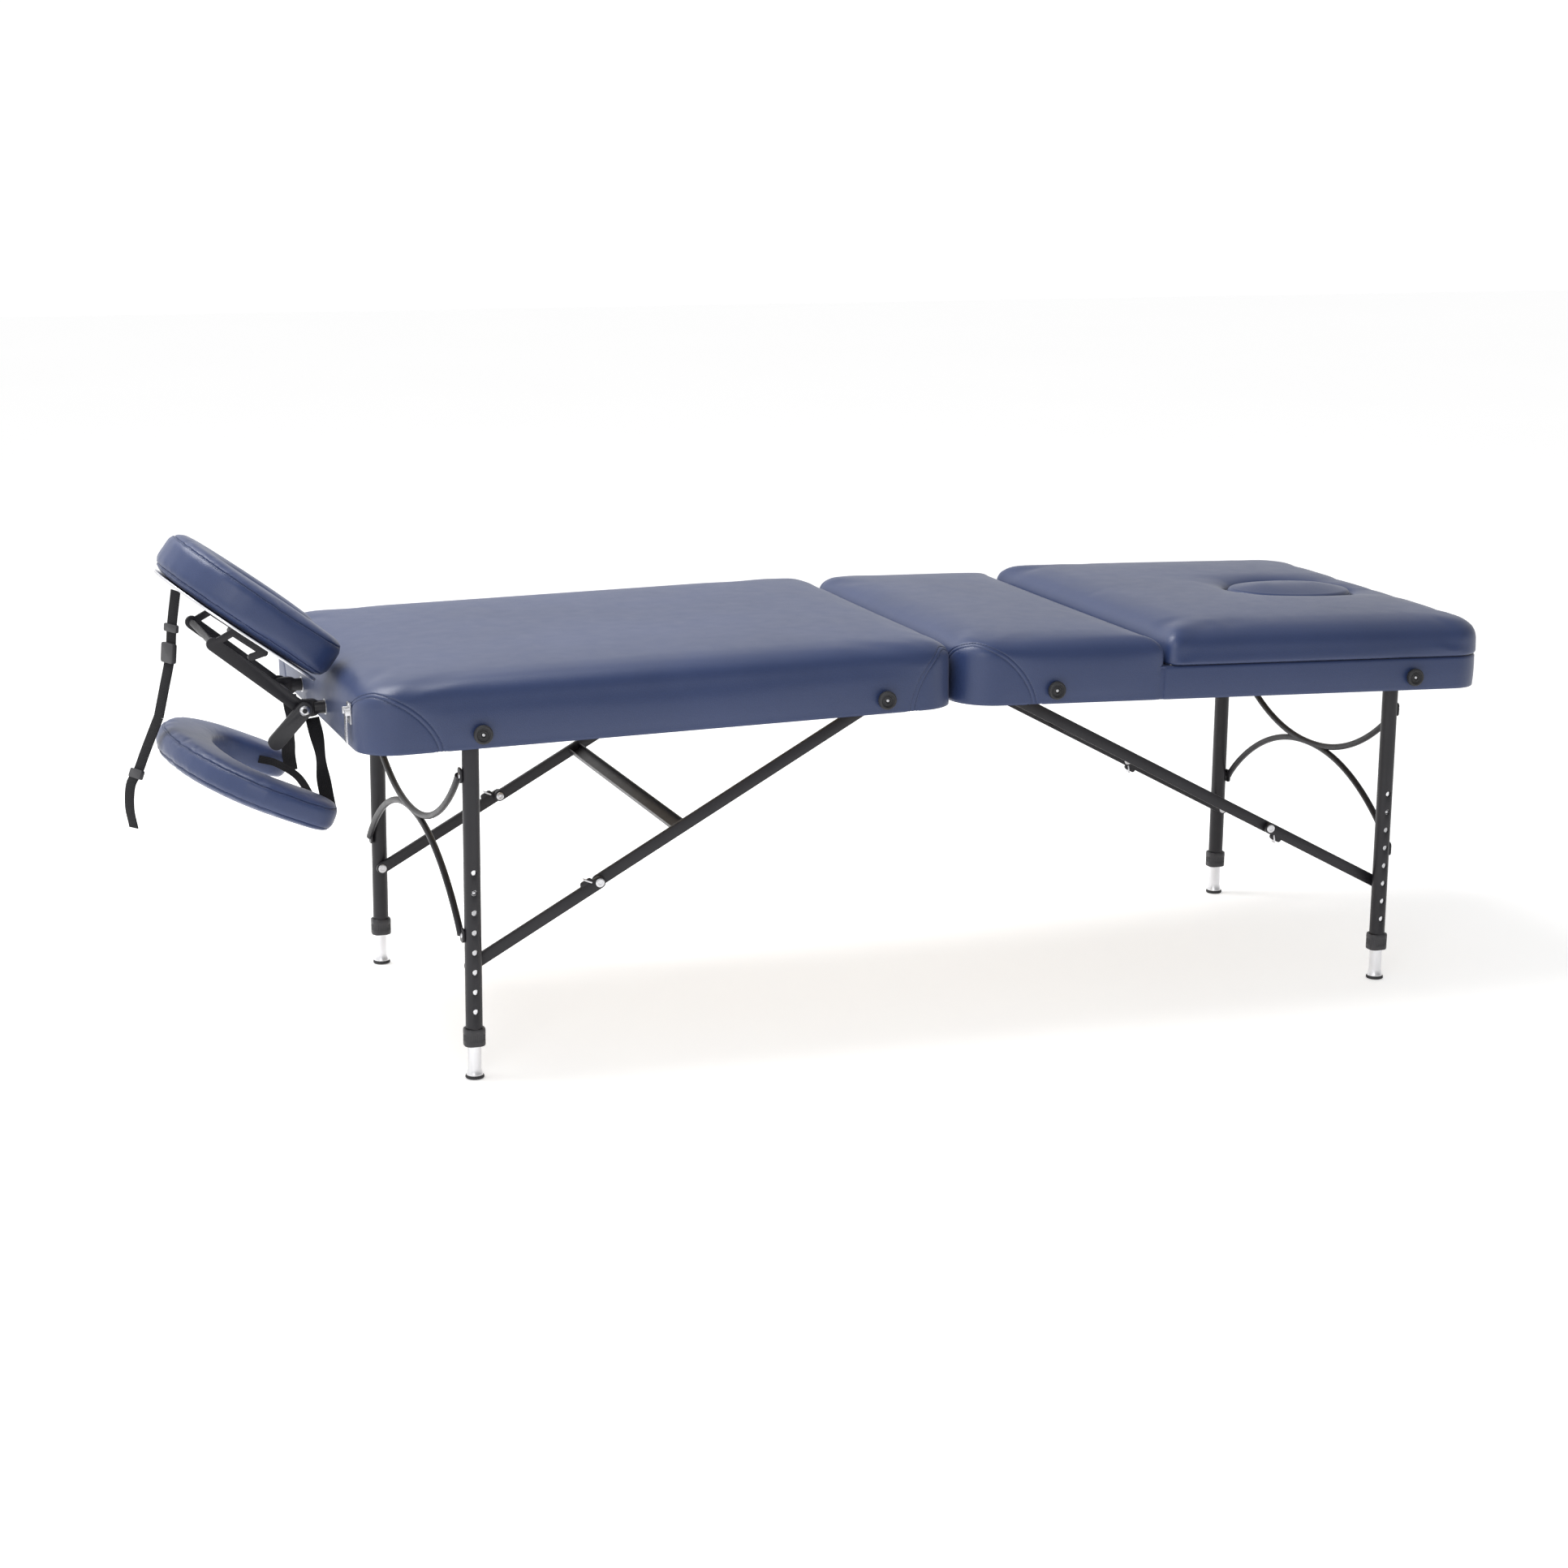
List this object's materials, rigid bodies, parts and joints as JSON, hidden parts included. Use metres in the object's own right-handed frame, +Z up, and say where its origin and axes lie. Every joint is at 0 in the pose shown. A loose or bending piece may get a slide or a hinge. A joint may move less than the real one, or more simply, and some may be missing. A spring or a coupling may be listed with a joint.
{
  "type": "portable massage table",
  "caption": "Padded massage table that folds like a suitcase, with telescopic braced legs, lifting backrest, face hole plug, tilting face cradle and strap-hung armrest.",
  "frame": {"origin": "on the floor below the middle of the whole table, cradle and straps included", "axes": "+X along the table from the face cradle to the foot end, +Y across it away from the side with the bumpers, +Z up"},
  "size_m": [2.123, 0.7026, 0.7782],
  "materials": {
    "navy_leather": "soft semi-gloss synthetic leather",
    "birch_plywood": "bare, light",
    "bare_aluminium": "polished satin",
    "zinc_steel": "zinc plated",
    "black_rubber": "matte",
    "black_plastic": "fine moulded grain",
    "black_webbing": "woven polypropylene",
    "charcoal_metal": "satin powder coat"
  },
  "bodies": {
    "head_half": {"head_frame": "birch_plywood", "head_board": "birch_plywood", "head_pad": "navy_leather", "head_hinge_leaf": "zinc_steel", "head_bumper_outer": "black_rubber", "head_bumper_inner": "black_rubber", "head_carry_handle": "black_webbing", "latch_plate": "zinc_steel", "cradle_sockets": "bare_aluminium"},
    "latch_hasp": {"latch_hasp": "zinc_steel"},
    "foot_half": {"foot_frame": "birch_plywood", "mid_pad": "navy_leather", "base_cover": "navy_leather", "foot_hinge_leaf": "zinc_steel", "foot_bumper_inner": "black_rubber", "foot_bumper_outer": "black_rubber", "foot_carry_handle": "black_webbing", "latch_keeper": "zinc_steel"},
    "backrest": {"backrest_board": "birch_plywood", "backrest_pad": "navy_leather"},
    "breath_hole_plug": {"breath_hole_plug": "navy_leather"},
    "backrest_prop": {"backrest_prop": "charcoal_metal"},
    "cradle_base": {"cradle_base": "charcoal_metal", "rear_strap_near": "black_webbing", "rear_strap_far": "black_webbing"},
    "cradle": {"cradle_frame": "charcoal_metal", "cradle_plate": "bare_aluminium", "cradle_cushion": "navy_leather"},
    "cam_lever": {"cam_lever": "black_plastic"},
    "armrest": {"armrest_pad": "navy_leather", "front_strap_tail": "black_webbing"},
    "front_strap": {"front_strap": "black_webbing"},
    "head_leg_frame": {"head_leg_near": "charcoal_metal", "head_leg_far": "charcoal_metal", "head_collar_near": "black_plastic", "head_collar_far": "black_plastic", "head_arched_stretcher": "charcoal_metal"},
    "head_upper_brace": {"head_upper_brace": "charcoal_metal"},
    "head_lower_brace_near": {"head_lower_brace_near": "charcoal_metal"},
    "head_inner_leg_near": {"head_inner_leg_near": "bare_aluminium", "head_rubber_foot_near": "black_rubber"},
    "head_lock_button_near": {"head_lock_button_near": "zinc_steel"},
    "head_lower_brace_far": {"head_lower_brace_far": "charcoal_metal"},
    "head_inner_leg_far": {"head_inner_leg_far": "bare_aluminium", "head_rubber_foot_far": "black_rubber"},
    "head_lock_button_far": {"head_lock_button_far": "zinc_steel"},
    "foot_leg_frame": {"foot_leg_near": "charcoal_metal", "foot_leg_far": "charcoal_metal", "foot_collar_near": "black_plastic", "foot_collar_far": "black_plastic", "foot_arched_stretcher": "charcoal_metal"},
    "foot_upper_brace": {"foot_upper_brace": "charcoal_metal"},
    "foot_lower_brace_near": {"foot_lower_brace_near": "charcoal_metal"},
    "foot_inner_leg_near": {"foot_inner_leg_near": "bare_aluminium", "foot_rubber_foot_near": "black_rubber"},
    "foot_lock_button_near": {"foot_lock_button_near": "zinc_steel"},
    "foot_lower_brace_far": {"foot_lower_brace_far": "charcoal_metal"},
    "foot_inner_leg_far": {"foot_inner_leg_far": "bare_aluminium", "foot_rubber_foot_far": "black_rubber"},
    "foot_lock_button_far": {"foot_lock_button_far": "zinc_steel"}
  },
  "joints": [
    {"name": "case_fold", "type": "hinge", "parent": "head_half", "child": "foot_half", "pos_m": [0.13799, 0, 0.5135], "axis": [0, 1, 0], "range_deg": [0, 177.4]},
    {"name": "head_leg_fold", "type": "hinge", "parent": "head_half", "child": "head_leg_frame", "pos_m": [-0.61711, 0, 0.5225], "axis": [0, -1, 0], "range_deg": [0, 91.6]},
    {"name": "head_upper_brace_fold", "type": "hinge", "parent": "head_half", "child": "head_upper_brace", "pos_m": [0.04309, 0, 0.53518], "axis": [0, 1, 0], "range_deg": [0, 28.61]},
    {"name": "head_lower_brace_near_fold", "type": "hinge", "parent": "head_leg_frame", "child": "head_lower_brace_near", "pos_m": [-0.61711, -0.3115, 0.166], "axis": [0, -1, 0], "range_deg": [0, 61.29]},
    {"name": "head_leg_height_near", "type": "slide", "parent": "head_leg_frame", "child": "head_inner_leg_near", "axis": [0, 0, -1], "range_m": [-0.03, 0.17]},
    {"name": "head_lock_button_near_press", "type": "slide", "parent": "head_inner_leg_near", "child": "head_lock_button_near", "axis": [0, 1, 0], "range_m": [0, 0.003], "stiffness_N_per_m": 400},
    {"name": "head_lower_brace_far_fold", "type": "hinge", "parent": "head_leg_frame", "child": "head_lower_brace_far", "pos_m": [-0.61711, 0.3115, 0.166], "axis": [0, -1, 0], "range_deg": [0, 61.29]},
    {"name": "head_leg_height_far", "type": "slide", "parent": "head_leg_frame", "child": "head_inner_leg_far", "axis": [0, 0, -1], "range_m": [-0.03, 0.17]},
    {"name": "head_lock_button_far_press", "type": "slide", "parent": "head_inner_leg_far", "child": "head_lock_button_far", "axis": [0, -1, 0], "range_m": [0, 0.003], "stiffness_N_per_m": 400},
    {"name": "foot_leg_fold", "type": "hinge", "parent": "foot_half", "child": "foot_leg_frame", "pos_m": [0.91409, 0, 0.51668], "axis": [0, 1, 0], "range_deg": [0, 92]},
    {"name": "foot_upper_brace_fold", "type": "hinge", "parent": "foot_half", "child": "foot_upper_brace", "pos_m": [0.20404, 0, 0.53528], "axis": [0, -1, 0], "range_deg": [0, 26.86]},
    {"name": "foot_lower_brace_near_fold", "type": "hinge", "parent": "foot_leg_frame", "child": "foot_lower_brace_near", "pos_m": [0.91409, -0.2815, 0.16], "axis": [0, 1, 0], "range_deg": [0, 62.64]},
    {"name": "foot_leg_height_near", "type": "slide", "parent": "foot_leg_frame", "child": "foot_inner_leg_near", "axis": [0, 0, -1], "range_m": [-0.03, 0.17]},
    {"name": "foot_lock_button_near_press", "type": "slide", "parent": "foot_inner_leg_near", "child": "foot_lock_button_near", "axis": [0, 1, 0], "range_m": [0, 0.003], "stiffness_N_per_m": 400},
    {"name": "foot_lower_brace_far_fold", "type": "hinge", "parent": "foot_leg_frame", "child": "foot_lower_brace_far", "pos_m": [0.91409, 0.2815, 0.16], "axis": [0, 1, 0], "range_deg": [0, 62.64]},
    {"name": "foot_leg_height_far", "type": "slide", "parent": "foot_leg_frame", "child": "foot_inner_leg_far", "axis": [0, 0, -1], "range_m": [-0.03, 0.17]},
    {"name": "foot_lock_button_far_press", "type": "slide", "parent": "foot_inner_leg_far", "child": "foot_lock_button_far", "axis": [0, -1, 0], "range_m": [0, 0.003], "stiffness_N_per_m": 400},
    {"name": "backrest_lift", "type": "hinge", "parent": "foot_half", "child": "backrest", "pos_m": [0.48144, 0, 0.60404], "axis": [0, -1, 0], "range_deg": [0, 60]},
    {"name": "backrest_prop_swing", "type": "hinge", "parent": "foot_half", "child": "backrest_prop", "pos_m": [0.72991, 0, 0.54251], "axis": [0, -1, 0], "range_deg": [0, 104]},
    {"name": "breath_hole_plug_lift", "type": "slide", "parent": "backrest", "child": "breath_hole_plug", "axis": [0.0262, 0, 0.9997], "range_m": [0, 0.09]},
    {"name": "latch_hasp_swing", "type": "hinge", "parent": "head_half", "child": "latch_hasp", "pos_m": [-0.78618, -0.262, 0.55127], "axis": [0, 1, 0], "range_deg": [0, 110]},
    {"name": "cradle_slide", "type": "slide", "parent": "head_half", "child": "cradle_base", "axis": [-0.9998, 0, -0.0192], "range_m": [0, 0.1]},
    {"name": "cradle_tilt", "type": "hinge", "parent": "cradle_base", "child": "cradle", "pos_m": [-0.81533, 0, 0.5227], "axis": [0, -1, 0], "range_deg": [0, 35]},
    {"name": "cam_lever_swing", "type": "hinge", "parent": "cradle_base", "child": "cam_lever", "pos_m": [-0.81533, -0.103, 0.5227], "axis": [0, 1, 0], "range_deg": [0, 70]},
    {"name": "armrest_tilt", "type": "hinge", "parent": "cradle_base", "child": "armrest", "pos_m": [-0.79551, 0, 0.41], "axis": [0, -1, 0], "range_deg": [0, 29]},
    {"name": "front_strap_swing", "type": "hinge", "parent": "cradle", "child": "front_strap", "pos_m": [-0.98101, 0, 0.694], "axis": [0, 1, 0], "range_deg": [0, 19]}
  ],
  "couplings": [
    {"joint": "head_leg_fold", "follows": "case_fold", "ratio": 0.51353},
    {"joint": "head_upper_brace_fold", "follows": "case_fold", "ratio": 0.15848},
    {"joint": "head_lower_brace_near_fold", "follows": "case_fold", "ratio": 0.34265},
    {"joint": "head_lower_brace_far_fold", "follows": "case_fold", "ratio": 0.34265},
    {"joint": "foot_leg_fold", "follows": "case_fold", "ratio": 0.51578},
    {"joint": "foot_upper_brace_fold", "follows": "case_fold", "ratio": 0.14858},
    {"joint": "foot_lower_brace_near_fold", "follows": "case_fold", "ratio": 0.3503},
    {"joint": "foot_lower_brace_far_fold", "follows": "case_fold", "ratio": 0.3503},
    {"joint": "backrest_prop_swing", "follows": "backrest_lift", "ratio": 1.7267},
    {"joint": "armrest_tilt", "follows": "cradle_tilt", "ratio": 0.8},
    {"joint": "front_strap_swing", "follows": "cradle_tilt", "ratio": 0.5}
  ]
}
